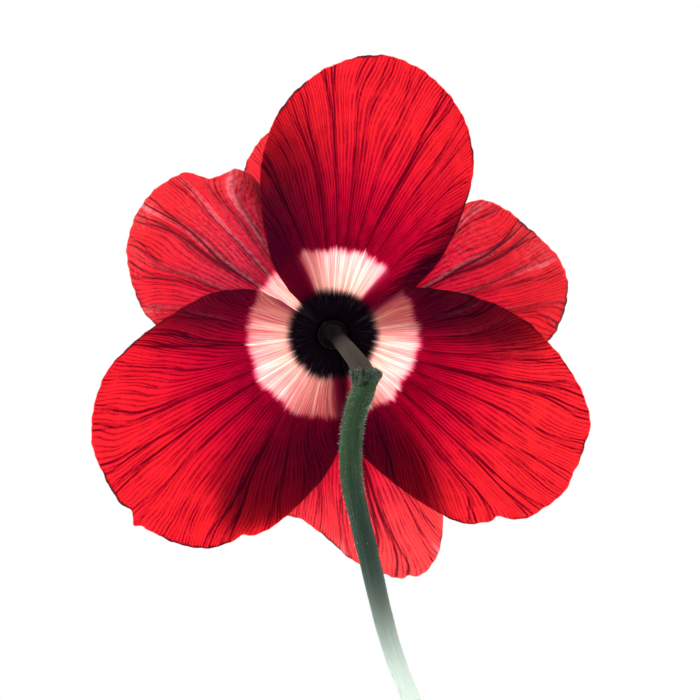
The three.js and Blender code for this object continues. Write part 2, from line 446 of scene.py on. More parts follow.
def ripple(share, seed, waves):
    """A smooth seeded wave along 0 to 1, about -1 to 1, from a few sines."""
    draw = np.random.RandomState(seed)
    total = np.zeros_like(share)
    for wave in waves:
        total += np.sin(2 * np.pi * (wave * share * draw.uniform(0.9, 1.1) + draw.uniform()))
    return total / math.sqrt(len(waves))


def smooth(value, low, high):
    """The same rise as Wire.step, on numbers."""
    share = np.clip((value - low) / (high - low), 0, 1)
    return share * share * (3 - 2 * share)


# Where veins fork, as shares of the way from the base to the margin: the middle of the
# range, how far single veins differ from it, how fast the branches part, and how far.
MAIN_FORKS = [(0.50, 0.20, 0.40, 0.22), (0.82, 0.08, 0.45, 0.08)]
FINE_FORKS = [(0.58, 0.16, 0.90, 0.25)]
FORK_TURN = 2.4


def vein_gap(line, along):
    """How far a place is from the nearest main vein, in steps between veins."""
    nearest = np.round(line)
    gap = np.abs(line - nearest)
    for middle, swing, speed, most in MAIN_FORKS:
        fork = middle + swing * np.sin(nearest * FORK_TURN)
        gap = np.abs(gap - np.clip((along - fork) * speed, 0, most))
    return gap


def solid(name, slot, points, faces, attributes=None):
    """An object of the flower, from points in millimetres about the flower's axis."""
    mesh = bpy.data.meshes.new(name)
    placed = (np.asarray(points, float) + AXIS + (0, 0, LIFT)) * MM
    mesh.from_pydata(placed.tolist(), [], faces)
    for label, values in (attributes or {}).items():
        layer = mesh.attributes.new(label, "FLOAT", "POINT")
        layer.data.foreach_set("value", np.asarray(values, np.float32))
    mesh.shade_smooth()
    made = bpy.data.objects.new(name, mesh)
    bpy.context.collection.objects.link(made)
    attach(made, "root")
    return made


def grid_faces(rows, columns, closed=False):
    """Quads over a grid of rows x columns points."""
    across = columns if closed else columns - 1
    row, column = np.meshgrid(np.arange(rows - 1), np.arange(across), indexing="ij")
    after = (column + 1) % columns
    corners = [
        row * columns + column,
        row * columns + after,
        (row + 1) * columns + after,
        (row + 1) * columns + column,
    ]
    return np.stack(corners, axis=-1).reshape(-1, 4)


RING_EDGE = 13.0
DARK_EDGE = 6.9
FINE_LINES = 6
VEIN_RELIEF = 0.8
SKIN_SHARE = 0.35


def tepal_paint(name, seed, ring, tint, lit_side, rough, shine):
    """Thin tissue: a skin over layers that let coloured light through."""
    paint = Paint(name)
    line = paint.attribute("line")
    along = paint.attribute("along")
    across = paint.attribute("across")
    pitch = paint.attribute("pitch")
    radius = paint.attribute("radius")
    margin = paint.attribute("margin")

    def forked(lines, step, forks):
        """The same gap as vein_gap, in millimetres."""
        nearest = lines.math("ROUND")
        gap = abs(lines - nearest)
        for middle, swing, speed, most in forks:
            fork = middle + swing * (nearest * FORK_TURN).math("SINE")
            opened = ((along - fork) * speed).math("MAXIMUM", 0.0).math("MINIMUM", most)
            gap = abs(gap - opened)
        return gap * step

    # Main veins, some of them stronger than others.
    number = line.math("ROUND")
    strong = 0.62 + 0.38 * (number * 1.9 + float(seed)).math("SINE")
    main = forked(line, pitch, MAIN_FORKS)
    width = 0.13 + 0.14 * radius.step(12.0, 20.0)
    main_core = (1.0 - main.step(0.03, width)) * (0.25 + 0.75 * strong)
    # A band of painted shade beside each main vein, standing for the shade in its fold.
    painted_fold_shade = main.step(1.1, 0.05) * strong

    # Finer veins branch off them at a slant, and run side by side.
    slant = paint.noise(paint.vector(line * 0.3, along * 1.6, float(seed)), 1.0, 0.0) - 0.5
    shiver = paint.noise(paint.vector(line * 3.0, along * 14.0, seed + 1.0), 1.0, 2.0) - 0.5
    fine_line = line * FINE_LINES + slant * 4.0 + shiver * 0.5
    fine = forked(fine_line, pitch / FINE_LINES, FINE_FORKS)
    patch = paint.noise(paint.vector(line * 1.3, along * 9.0, seed + 3.0), 1.5, 2.0)
    fine_core = fine.step(0.19, 0.05) * (0.55 + 0.4 * patch.step(0.32, 0.60))

    # The tissue itself is made of small cells, drawn out along the veins.
    cells = paint.noise(paint.vector(line * 12.0, along * 80.0, float(seed)), 1.0, 2.0, 0.7)
    cloud = paint.noise(paint.vector(line * 0.35, along * 2.6, seed + 5.0), 1.0, 2.0)

    # The white ring and the dark heart, both drawn out along the veins.
    wobble = paint.noise(paint.vector(line * 0.5, 0.0, seed + 9.0), 1.0, 2.0) - 0.5
    threads = paint.noise(paint.vector(line * 3.1, radius * 0.25, seed + 2.0), 1.0, 3.0, 0.6) - 0.5
    ring_out = RING_EDGE + main_core * 0.35 + fine_core * 0.3 - radius
    ring_out = ring_out + wobble * 3.2 + threads * 1.8
    side = across.step(ring[0] - 0.05, ring[0] + 0.05) * across.step(ring[1] + 0.05, ring[1] - 0.05)
    ring_mask = ring_out.step(-0.7, 0.6) * side
    blush = ring_out.step(-0.9, 0.9) * across.step(ring[0] - 0.12, ring[0] + 0.06)
    blush = blush * across.step(ring[1] + 0.12, ring[1] - 0.06)
    dark_out = DARK_EDGE - main_core * 0.35 + wobble * 1.2 + threads * 1.6 - radius
    dark = dark_out.step(-0.9, 0.8)
    warm = radius.step(12.0, 7.5)

    # The tissue is deep crimson near the base and clearer red outwards, with dark veins,
    # and with painted shade in the folds beside some of the main veins.
    outer = radius.step(14.0, 36.0)
    pleat = radius.step(13.0, 20.0) * radius.step(36.0, 28.0)
    pleat = pleat * (number * 3.1 + along * 2.0 + float(seed)).math("SINE").step(-0.2, 0.9)
    dark_veins_and_fold_shade = main_core * 0.8 + painted_fold_shade * (0.04 + 0.40 * pleat)
    dark_veins_and_fold_shade = dark_veins_and_fold_shade + fine_core * (0.95 - 0.15 * outer) + (0.5 - cells) * 0.8
    dark_veins_and_fold_shade = dark_veins_and_fold_shade + (0.5 - cloud) * 0.12 + (1.0 - outer) * 0.10 - 0.17
    dark_veins_and_fold_shade = dark_veins_and_fold_shade.math("MAXIMUM", 0.0).math("MINIMUM", 1.0)
    rim = margin.step(0.22, 0.05)

    # Along parts of the margin the tissue has bruised brown.
    tattered = paint.noise(paint.vector(line * 6.0, margin * 2.0, seed + 6.0), 1.0, 3.0, 0.7) - 0.5
    bruised = paint.noise(paint.vector(line * 0.55, 0.0, seed + 15.0), 1.0, 1.0).step(0.48, 0.56)
    bruised = bruised * (margin - tattered * 1.2).step(0.55, 0.15)

    # Painted sheen: where light would catch the sloping sides of the veins, the colour is painted
    # pale pink, as a painted highlight.
    slope = (line - number) * float(lit_side)
    flank = slope.step(0.0, 0.05) * slope.step(0.26, 0.05)
    streak = paint.noise(paint.vector(line * 9.0, along * 36.0, seed + 7.0), 1.0, 3.0, 0.7)
    streak = streak.step(0.38, 0.62)
    painted_gloss = paint.attribute("painted_sheen") * (0.22 * streak + flank * (0.35 + 0.65 * streak))
    painted_gloss = painted_gloss.math("MINIMUM", 0.85) * (1.0 - main_core)

    deep = paint.mix(outer, (0.46, 0.006, 0.140, 1.0), (0.54, 0.014, 0.060, 1.0))
    colour = paint.mix(dark_veins_and_fold_shade, deep, (0.12, 0.0, 0.050, 1.0))
    colour = paint.mix(rim, colour, (0.50, 0.03, 0.04, 1.0))
    colour = paint.mix(bruised, colour, (0.16, 0.035, 0.045, 1.0))
    # Painted highlight: the pale pink painted sheen.
    colour = paint.mix(painted_gloss, colour, (0.95, 0.72, 0.76, 1.0))
    colour = paint.mix(blush, colour, (0.60, 0.08, 0.22, 1.0))
    ring_colour = paint.mix(main_core, (0.78, 0.50, 0.48, 1.0), (0.95, 0.90, 0.80, 1.0))
    colour = paint.mix(ring_mask, colour, ring_colour)
    # Pale grey streaks in the dark heart near its base are a painted sheen.
    dust_and_sheen = threads.step(0.0, 0.25) * radius.step(2.5, 5.5) * 0.6
    black = paint.mix(dust_and_sheen, (0.040, 0.016, 0.042, 1.0), (0.300, 0.210, 0.260, 1.0))
    colour = paint.mix(dark, colour, black)

    def clear(red, green, blue):
        """Tissue that light takes this colour from on its way through."""
        return paint.node("ShaderNodeBsdfTranslucent", sockets={"Color": (red, green, blue, 1.0)})

    through = paint.blend(outer, clear(0.47, 0.014, 0.085), clear(*tint))
    # Dark veins and painted fold shade let less light through.
    through = paint.blend(dark_veins_and_fold_shade, through, clear(0.17, 0.0, 0.035))
    through = paint.blend(rim, through, clear(0.78, 0.18, 0.13))
    through = paint.blend(bruised * 0.85, through, clear(0.11, 0.02, 0.035))
    # The painted sheen lets paler light through too.
    through = paint.blend(painted_gloss * 0.8, through, clear(0.60, 0.26, 0.28))
    through = paint.blend(blush, through, clear(0.64, 0.12, 0.28))
    tissue = paint.blend(warm * 0.85, clear(0.84, 0.44, 0.46), clear(0.78, 0.39, 0.27))
    bands = paint.noise(paint.vector(line * 5.0, radius * 0.12, seed + 4.0), 1.0, 4.0, 0.7)
    tissue = paint.blend(bands.step(0.53, 0.43) * 0.8, tissue, clear(0.76, 0.24, 0.28))
    tissue = paint.blend(bands.step(0.53, 0.62) * 0.8, tissue, clear(0.94, 0.76, 0.70))
    strands = paint.noise(paint.vector(line * 11.0, radius * 0.07, seed + 8.0), 1.0, 1.0)
    tissue = paint.blend(strands.step(0.49, 0.40) * 0.85, tissue, clear(0.56, 0.12, 0.15))
    tissue = paint.blend(strands.step(0.56, 0.63) * 0.7, tissue, clear(1.0, 0.88, 0.78))
    white = paint.blend(main_core, tissue, clear(1.0, 0.95, 0.86))
    white = paint.blend(fine_core * 0.45, white, clear(0.95, 0.78, 0.72))
    through = paint.blend(ring_mask, through, white)
    through = paint.blend(dark, through, clear(0.006, 0.001, 0.006))

    height = main_core * 0.7 + fine_core * 0.5 + cells * 0.7
    bump = paint.node(
        "ShaderNodeBump",
        sockets={"Strength": VEIN_RELIEF, "Distance": 0.0002, "Height": height},
    )
    skin = paint.node(
        "ShaderNodeBsdfPrincipled",
        sockets={
            "Base Color": colour,
            "Roughness": rough + (0.5 - cells) * 0.2,
            "Specular IOR Level": shine,
            "Normal": bump,
        },
    )
    return paint.show(paint.blend(SKIN_SHARE, through, skin))


def tepal(
    name, layer, veins, tint, lit_side, painted_sheens, ridge, pucker, ring, wave, seed, outline, nicks
):
    """One tepal: a thin closed sheet over a grid of columns that run as its veins do."""
    edge = spaced(outline, COLUMNS)
    reach = np.linalg.norm(edge, axis=1).max()
    start = math.atan2(edge[0][1], edge[0][0])
    turn = (start - math.atan2(edge[-1][1], edge[-1][0])) % (2 * math.pi)
    share = np.linspace(0, 1, COLUMNS + 1)
    angle = start - turn * share
    base = BASE_RADIUS * np.stack([np.cos(angle), np.sin(angle)], axis=1)

    # The margin is a little uneven, with a few nicks.
    chord = edge - base
    length = np.linalg.norm(chord, axis=1, keepdims=True)
    inset = 0.09 * ripple(share, seed, (17, 31, 47)) + 0.02 * ripple(share, seed + 1, (90, 130))
    inset = inset[:, None] * smooth(length, 6, 20)
    for x, y, depth, width in nicks:
        away = np.linalg.norm(edge - (x, y), axis=1, keepdims=True)
        inset = inset + depth * np.exp(-((away / width) ** 2))
    edge = edge - chord / length * inset
    chord = edge - base
    length = np.linalg.norm(chord, axis=1, keepdims=True)

    # Columns run from the base to the margin like the veins: straight out at
    # first, then bending towards the side margins.
    straight = chord[COLUMNS // 2] / length[COLUMNS // 2]
    lean = 0.42 * np.sqrt(4 * share * (1 - share))[:, None]
    pull = chord / length * (1 - lean) + straight * lean
    knee = base + 0.5 * length * pull / np.linalg.norm(pull, axis=1, keepdims=True)
    along = np.linspace(0, 1, ROWS + 1)[:, None, None]
    flat = (1 - along) ** 2 * base + 2 * along * (1 - along) * knee + along**2 * edge
    along = np.broadcast_to(along[..., 0], flat.shape[:2])
    x, y = flat[..., 0], flat[..., 1]

    radius = np.hypot(x, y)
    out = np.minimum(radius / reach, 1)
    across = 2 * share - 1
    gap = np.gradient(flat, axis=1)
    pitch = np.hypot(gap[..., 0], gap[..., 1]) * COLUMNS / veins
    margin = np.minimum((1 - along) * length[:, 0], (1 - np.abs(across)) / 2 * pitch * veins)

    # The lines that the main veins follow, one at each whole number.
    wander = 0.16 * np.sin(along * 5 + share * 17 + seed) * along
    wander = wander + 0.05 * np.sin(along * 15 + share * 43 + 2 * seed) * along
    line = share * veins + wander
    away = vein_gap(line, along) * pitch
    vein = 1 - smooth(away, 0.1, 0.8)

    # On the lit side of each main vein the skin slopes and catches the light.
    slope = (line - np.round(line)) * lit_side
    flank = smooth(slope, 0.0, 0.05) * (1 - smooth(slope, 0.05, 0.45))
    # A pale sheen is painted on in patches, as a painted highlight on the lit sides of the veins.
    painted_sheen = np.zeros_like(x)
    for at_x, at_y, spread, amount in painted_sheens:
        painted_sheen = painted_sheen + amount * np.exp(-((x - at_x) ** 2 + (y - at_y) ** 2) / spread**2)

    # The back of the flower is a low bowl, raised along the veins and wavy at the margin.
    foot = INNER_TEPAL_HEIGHT + layer * LAYER_STEP
    height = RIM_HEIGHT + (foot - RIM_HEIGHT) * (1 - out**BOWL_POWER)
    height = height - CUP_DEPTH * across**2 * np.sin(np.pi * out)
    rise = smooth(radius, 5, 14) * smooth(margin, 0, 3)
    height = height + ridge * (vein + 0.7 * flank) * rise
    swell = np.sin(line * 2 * np.pi * 0.5 + seed) * np.sin(along * 5 + line * 0.7)
    height = height + pucker * swell * smooth(out, 0.35, 0.8) * smooth(margin, 0, 4)
    flutter = ripple(share, seed + 2, (4, 7, 11))
    height = height + wave * flutter * smooth(along, 0.45, 1.0) * smooth(1.03 - out, 0, 0.12)

    # Both faces stand off the middle surface, thinner towards the margin, and neither
    # reaches below what the flower rests on.
    middle = np.stack([x, y, height], axis=-1)
    down_row = np.gradient(middle, axis=0)
    over_column = np.gradient(middle, axis=1)
    normal = np.cross(over_column, down_row)
    normal = normal / np.linalg.norm(normal, axis=-1, keepdims=True)
    normal = normal * np.sign(normal[..., 2:])
    half = TEPAL_THICKNESS / 2 * (0.35 + 0.65 * smooth(margin, 0, 2.2))[..., None]
    upper = middle + normal * half
    lower = middle - normal * half
    lowest = FLOOR_GAP - LIFT
    upper[..., 2] = np.maximum(upper[..., 2], lowest + LEAST_THICKNESS)
    lower[..., 2] = np.maximum(lower[..., 2], lowest)

    rows, columns = middle.shape[:2]
    count = rows * columns
    top = grid_faces(rows, columns)
    bottom = top[:, ::-1] + count
    rim = np.concatenate([
        np.arange(columns - 1),
        np.arange(rows - 1) * columns + columns - 1,
        (rows - 1) * columns + np.arange(columns - 1, 0, -1),
        np.arange(rows - 1, 0, -1) * columns,
    ])
    after = np.roll(rim, -1)
    wall = np.stack([rim, rim + count, after + count, after], axis=-1)
    faces = np.concatenate([top, bottom, wall])

    def twice(values):
        return np.concatenate([np.broadcast_to(values, (rows, columns)).ravel()] * 2)

    made = solid(
        name + "_petal",
        "tepal",
        np.concatenate([upper.reshape(-1, 3), lower.reshape(-1, 3)]),
        faces.tolist(),
        {
            "line": twice(line),
            "along": twice(along),
            "across": twice(across),
            "pitch": twice(pitch),
            "radius": twice(radius),
            "margin": twice(margin),
            "painted_sheen": twice(painted_sheen),
        },
    )
    inner = layer < 1
    made.data.materials.append(
        tepal_paint(
            name + " tissue",
            seed,
            ring,
            tint,
            lit_side,
            rough=0.36 if inner else 0.6,
            shine=0.8 if inner else 0.06,
        )
    )
    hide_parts(name)


for facts in TEPALS:
    tepal(**facts)

# ---------------------------------------------------------------------------
# Stem. A juicy green stalk, faintly ribbed, that grew as one piece from its
# cut end to the swollen end inside the flower. It turns brownish above the
# collar, and pale towards its cut.
# ---------------------------------------------------------------------------
# Points on its middle line, with the radius at each.
STEM_LINE = [
    ((0, 0, 10.0), 2.6),
    ((0, 0, 11.2), 3.9),
    ((0, 0, 12.0), 2.35),
    ((0, 0, 17.2), 2.2),
    ((0, 0.2, 18.8), 1.35),
    ((0.3, 0.1, 20.6), 1.2),
    ((1.3, -1.1, 23.4), 1.22),
    ((2.9, -3.0, 25.6), 1.34),
    ((4.5, -5.2, 26.9), 1.55),
    ((5.0, -6.9, 27.3), 1.7),
    ((4.7, -8.7, 27.3), 1.8),
    ((3.9, -10.7, 27.1), 1.7),
    ((3.2, -13.4, 26.7), 1.65),
    ((2.8, -17.9, 25.6), 1.65),
    ((3.0, -22.5, 23.9), 1.65),
    ((4.0, -27.4, 21.5), 1.6),
    ((6.2, -37.0, 15.7), 1.6),
    ((7.7, -43.6, 11.5), 1.55),
    ((9.3, -49.5, 8.0), 1.5),
    ((11.6, -56.0, 4.9), 1.5),
    ((14.9, -64.5, 2.3), 1.55),
    ((18.0, -72.0, 1.65), 1.6),
    ((20.6, -79.0, 1.66), 1.6),
]


def carried_frames(centres):
    """Unit vectors along, across and beside a line, without twisting."""
    ahead = np.gradient(centres, axis=0)
    ahead = ahead / np.linalg.norm(ahead, axis=1, keepdims=True)
    side = np.array([1.0, 0.0, 0.0])
    sides = []
    for direction in ahead:
        side = side - direction * (side @ direction)
        side = side / np.linalg.norm(side)
        sides.append(side)
    sides = np.array(sides)
    return ahead, sides, np.cross(ahead, sides)


def capped_faces(rows, sides):
    """Quads between rings of points, with a flat cap on the first and the last ring."""
    faces = grid_faces(rows, sides, closed=True).tolist()
    first = list(range(sides))
    last = [(rows - 1) * sides + corner for corner in first]
    return [*faces, first[::-1], last]


def tube(centres, radii, sides, bumps=0.0):
    """The points and faces of a closed round bar along a line."""
    ahead, across, beside = carried_frames(centres)
    turn = np.linspace(0, 2 * np.pi, sides, endpoint=False)
    size = radii[:, None] + np.broadcast_to(bumps, (len(centres), sides))
    ring = across[:, None] * np.cos(turn)[:, None] + beside[:, None] * np.sin(turn)[:, None]
    points = (centres[:, None] + ring * size[..., None]).reshape(-1, 3)
    return points, capped_faces(len(centres), sides)


STEM_STEPS = 14
STEM_SIDES = 72
COLLAR_POINT = 9
centres = through_points([at for at, _ in STEM_LINE], STEM_STEPS)
radii = through_points([radius for _, radius in STEM_LINE], STEM_STEPS)[:, 0]
ahead, across, beside = carried_frames(centres)
travelled = travel(centres)
collar_run = float(travelled[COLLAR_POINT * STEM_STEPS])
length_mm = float(travelled[-1])

# Faint ribs run along the stalk, with slow swellings.
turn = np.linspace(0, 2 * np.pi, STEM_SIDES, endpoint=False)
share = travelled[:, None] / length_mm
ribs = 0.030 * np.sin(11 * turn + 2.0 * share) + 0.018 * np.sin(23 * turn + 1.0)
ribs = ribs + 0.03 * np.sin(share * 60 + 2 * turn) * np.sin(share * 23)
ribs = ribs * smooth(share, 0.12, 0.3)
points, faces = tube(centres, radii, STEM_SIDES, ribs)
stem = solid(
    "stem_stalk",
    "stem",
    points,
    faces,
    {"run": np.repeat(travelled, STEM_SIDES), "turn": np.tile(turn, len(centres))},
)
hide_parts("stem")

paint = Paint("stem skin")
run = paint.attribute("run")
around = paint.attribute("turn")
coords = paint.node("ShaderNodeTexCoord", out="Object")
round_place = paint.vector(around.math("SINE") * 9.0, around.math("COSINE") * 9.0, run * 0.12)
fibre = paint.noise(round_place, 1.0, 3.0, 0.6)
speckle = paint.noise(coords, 2600.0, 2.0)
strand = fibre.step(0.3, 0.7)
green = paint.mix(strand, (0.085, 0.180, 0.085, 1.0), (0.150, 0.270, 0.130, 1.0))
deep_green = paint.mix(strand, (0.085, 0.170, 0.122, 1.0), (0.140, 0.240, 0.175, 1.0))
pale_green = paint.mix(strand, (0.46, 0.60, 0.50, 1.0), (0.62, 0.76, 0.66, 1.0))
brown = paint.mix(strand, (0.250, 0.140, 0.145, 1.0), (0.130, 0.155, 0.100, 1.0))
pale = run.step(collar_run + 25.0, collar_run + 57.0)
colour = paint.mix(run.step(collar_run + 8.0, collar_run + 26.0), green, deep_green)
colour = paint.mix(pale, colour, pale_green)
colour = paint.mix(run.step(collar_run + 0.5, collar_run - 1.2), colour, brown)
colour = paint.mix(run.step(collar_run - 5.5, collar_run - 9.0), colour, (0.004, 0.002, 0.005, 1.0))
colour = paint.mix(speckle.step(0.62, 0.8) * (1 - pale) * 0.3, colour, (0.26, 0.32, 0.25, 1.0))
colour = paint.mix(run.step(length_mm - 0.05, length_mm), colour, (0.62, 0.66, 0.42, 1.0))
bump = paint.node(
    "ShaderNodeBump",
    sockets={"Strength": 0.6, "Distance": 0.0001, "Height": fibre + speckle * 0.5},
)
skin = paint.node(
    "ShaderNodeBsdfPrincipled",
    sockets={
        "Base Color": colour,
        "Roughness": 0.75 + (fibre - 0.5) * 0.2,
        "Specular IOR Level": 0.08,
        "Normal": bump,
    },
)
inside = paint.node("ShaderNodeBsdfTranslucent", sockets={"Color": (0.64, 0.67, 0.645, 1.0)})
stem.data.materials.append(paint.show(paint.blend(pale * 0.5, skin, inside)))

# ---------------------------------------------------------------------------
# Hairs. Short, soft and white, single thin cells that grow from the stalk's
# skin and stand out from it all round, down to where it turns pale.
# ---------------------------------------------------------------------------
HAIRS = 1500
HAIR_RADIUS = 0.022
HAIR_ROOT_DEPTH = 0.05
draw = np.random.RandomState(41)


def spikes(roots, tips, width):
    """Thin cones from roots to tips, with three sides, as points and triangles."""
    ahead = tips - roots
    ahead = ahead / np.linalg.norm(ahead, axis=1, keepdims=True)
    side = np.cross(ahead, (0.31, 0.52, 0.79))
    side = side / np.linalg.norm(side, axis=1, keepdims=True)
    over = np.cross(ahead, side)
    corners = [
        roots + width * (side * math.cos(angle) + over * math.sin(angle))
        for angle in (0, 2 * math.pi / 3, 4 * math.pi / 3)
    ]
    points = np.stack([*corners, tips], axis=1).reshape(-1, 3)
    pattern = np.array([(0, 2, 1), (0, 1, 3), (1, 2, 3), (2, 0, 3)])
    faces = (pattern[None] + 4 * np.arange(len(roots))[:, None, None]).reshape(-1, 3)
    return points, faces.tolist()


def hair_paint(name, colour, inside_colour):
    paint = Paint(name)
    skin = paint.node(
        "ShaderNodeBsdfPrincipled",
        sockets={"Base Color": colour, "Roughness": 0.6, "Specular IOR Level": 0.3},
    )
    inside = paint.node("ShaderNodeBsdfTranslucent", sockets={"Color": inside_colour})
    return paint.show(paint.blend(0.5, skin, inside))


first = np.searchsorted(travelled, collar_run + 1.2)
last = np.searchsorted(travelled, collar_run + 40.0)
at = draw.randint(first, last, HAIRS)
angle = draw.uniform(0, 2 * np.pi, HAIRS)[:, None]
outward = across[at] * np.cos(angle) + beside[at] * np.sin(angle)
roots = centres[at] + ahead[at] * draw.uniform(-0.3, 0.3, (HAIRS, 1)) + outward * radii[at][:, None]
lengths = draw.uniform(0.25, 0.75, (HAIRS, 1)) * (1 - 0.5 * smooth(at, first, last)[:, None])
lean = outward + ahead[at] * draw.uniform(-0.6, 0.5, (HAIRS, 1)) + draw.normal(0, 0.15, (HAIRS, 3))
points, faces = spikes(roots - outward * HAIR_ROOT_DEPTH, roots + lean * lengths, HAIR_RADIUS)
hairs = solid("stem_hairs", "stem", points, faces)
hairs.data.materials.append(
    hair_paint("stem hair", (0.22, 0.27, 0.22, 1.0), (0.90, 0.94, 0.90, 1.0))
)

# ---------------------------------------------------------------------------
# Collar. The bases of the leaves that stood in a ring round the bend of the
# stalk, torn off short: a lumpy dark green knob with a ragged, hairy upper
# edge and one longer stub on the right.
# ---------------------------------------------------------------------------
COLLAR_SIDES = 120
COLLAR_ROWS = 30
COLLAR_CORE = 1.62
COLLAR_HAIRS = 520
COLLAR_HAIR_RADIUS = 0.028
collar_at = COLLAR_POINT * STEM_STEPS
collar_ahead = ahead[collar_at]
right = np.array([1.0, 0.0, 0.0])
right = right - collar_ahead * (right @ collar_ahead)
right = right / np.linalg.norm(right)
up = np.cross(right, collar_ahead)
up = up * np.sign(up[2])
turn = np.linspace(0, 2 * np.pi, COLLAR_SIDES, endpoint=False)[None, :]
share = np.linspace(0, 1, COLLAR_ROWS)[:, None]

# Its thickness round and along it: seven lobes, torn and cracked, and the stub.
stub = np.exp(-(((turn + 0.1 + np.pi) % (2 * np.pi) - np.pi) ** 2) / 0.06)
lobes = 0.5 + 0.5 * np.cos(7 * turn + 0.9 * np.sin(2 * turn + 1.0))
torn = 0.8 * np.abs(ripple(turn / (2 * np.pi), 5, (9, 17, 29))) + 0.35 * lobes
edge_run = -1.15 - 0.55 * torn - 0.25 * stub
foot_run = 1.55 + 0.3 * np.cos(3 * turn + 1)
profile = np.interp(share, [0, 0.05, 0.2, 0.42, 0.7, 1.0], [0.0, 0.75, 1.0, 1.0, 0.7, 0.0])
cracks = np.sin(17 * turn + 5 * share) * np.sin(9 * share + 3 * turn)
clefts = -np.exp(-((np.sin(3.5 * turn + 0.6) / 0.16) ** 2)) * smooth(1 - share, 0.2, 0.8)
swell = 0.34 + 0.24 * lobes * (1 - 0.5 * share) + 0.62 * stub * np.exp(-(((share - 0.3) / 0.25) ** 2))
size = COLLAR_CORE + profile * (swell + 0.10 * cracks + 0.30 * clefts)
run_at = collar_run + edge_run + (foot_run - edge_run) * share
middle = np.stack([np.interp(run_at, travelled, centres[:, i]) for i in range(3)], axis=-1)
ring = right * np.cos(turn)[..., None] + up * np.sin(turn)[..., None]
collar_surface = middle + ring * size[..., None]
collar = solid(
    "collar_leaf_bases",
    "collar",
    collar_surface.reshape(-1, 3),
    capped_faces(COLLAR_ROWS, COLLAR_SIDES),
    {"share": np.repeat(share[:, 0], COLLAR_SIDES)},
)
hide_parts("leaf_collar")

paint = Paint("collar tissue")
share_wire = paint.attribute("share")
coords = paint.node("ShaderNodeTexCoord", out="Object")
blotch = paint.noise(coords, 900.0, 3.0, 0.6)
fleck = paint.noise(coords, 4200.0, 2.0)
colour = paint.mix(blotch.step(0.35, 0.65), (0.014, 0.030, 0.016, 1.0), (0.130, 0.240, 0.130, 1.0))
torn_edge = share_wire.step(0.3, 0.0)
colour = paint.mix(torn_edge * fleck.step(0.4, 0.6), colour, (0.24, 0.27, 0.22, 1.0))
bump = paint.node(
    "ShaderNodeBump", sockets={"Strength": 0.8, "Distance": 0.0002, "Height": blotch + fleck * 0.4}
)
skin = paint.node(
    "ShaderNodeBsdfPrincipled",
    sockets={"Base Color": colour, "Roughness": 0.6 + (blotch - 0.5) * 0.3, "Normal": bump},
)
collar.data.materials.append(paint.show(skin))

angle = draw.uniform(0, 2 * np.pi, COLLAR_HAIRS)
# Most of its hairs stand near the torn edge.
row = (COLLAR_ROWS * draw.uniform(0, 0.8, COLLAR_HAIRS) ** 2).astype(int)
column = (angle / (2 * np.pi) * COLLAR_SIDES).astype(int) % COLLAR_SIDES
roots = collar_surface[row, column]
outward = ring[0, column]
lean = outward * 0.7 - collar_ahead * draw.uniform(0.1, 0.9, (COLLAR_HAIRS, 1))
lean = lean + draw.normal(0, 0.3, (COLLAR_HAIRS, 3))
lengths = draw.uniform(0.25, 0.8, (COLLAR_HAIRS, 1))
points, faces = spikes(
    roots - outward * HAIR_ROOT_DEPTH, roots + lean * lengths, COLLAR_HAIR_RADIUS
)
collar_hairs = solid("collar_hairs", "collar", points, faces)
collar_hairs.data.materials.append(
    hair_paint("collar hair", (0.36, 0.40, 0.34, 1.0), (0.50, 0.56, 0.50, 1.0))
)

# ---------------------------------------------------------------------------
# Pistils. A dome of some hundreds of pistils, grown together at the middle of
# the flower's front, which is its underside here. Each ends in a short woolly
# blue-black style that stands off the dome.
# ---------------------------------------------------------------------------
PISTIL_RADIUS = 3.3
PISTIL_TOP = 9.6
PISTIL_HEIGHT = PISTIL_TOP - PISTIL_BOTTOM
WOOL_DEPTH = 0.35
STYLE_ROOT_DEPTH = 0.45
STYLES = 330
STYLE_SIDES = 6
STYLE_RADII = np.array([0.15, 0.16, 0.14, 0.12, 0.06])
GOLDEN_ANGLE = 2.39996
DOME_ROWS = 25
DOME_SIDES = 64


def gather(parts):
    """One list of points and one of faces from several."""
    points = []
    faces = []
    count = 0
    for some, their_faces in parts:
        points.append(some)
        faces.extend([[corner + count for corner in face] for face in their_faces])
        count += len(some)
    return np.vstack(points), faces


dome = np.linspace(0, np.pi / 2, DOME_ROWS)[:, None]
turn = np.linspace(0, 2 * np.pi, DOME_SIDES, endpoint=False)[None, :]
size = (PISTIL_RADIUS - WOOL_DEPTH) * np.maximum(np.sin(dome), 0.01) + 0 * turn
deep = PISTIL_TOP - (PISTIL_HEIGHT - WOOL_DEPTH) * np.cos(dome) + 0 * turn
points = np.stack([size * np.cos(turn), size * np.sin(turn), deep], axis=-1).reshape(-1, 3)
parts = [(points, capped_faces(DOME_ROWS, DOME_SIDES))]

order = np.arange(STYLES)
slope = np.arccos(1 - 0.97 * (order + 0.5) / STYLES)[:, None]
spin = (order * GOLDEN_ANGLE)[:, None]
outward = np.hstack([np.sin(slope) * np.cos(spin), np.sin(slope) * np.sin(spin), -np.cos(slope)])
reach = np.array([PISTIL_RADIUS, PISTIL_RADIUS, PISTIL_HEIGHT]) - STYLE_ROOT_DEPTH
roots = outward * reach + (0, 0, PISTIL_TOP)
tips = roots + outward * draw.uniform(0.45, 0.75, (STYLES, 1)) + draw.normal(0, 0.08, (STYLES, 3))
for root, tip in zip(roots, tips):
    bend = through_points([root, (root + tip) / 2 + draw.normal(0, 0.05, 3), tip], 2)
    parts.append(tube(bend, STYLE_RADII, STYLE_SIDES))

pistils = solid("pistil_dome", "pistil", *gather(parts))
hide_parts("pistil_cluster")


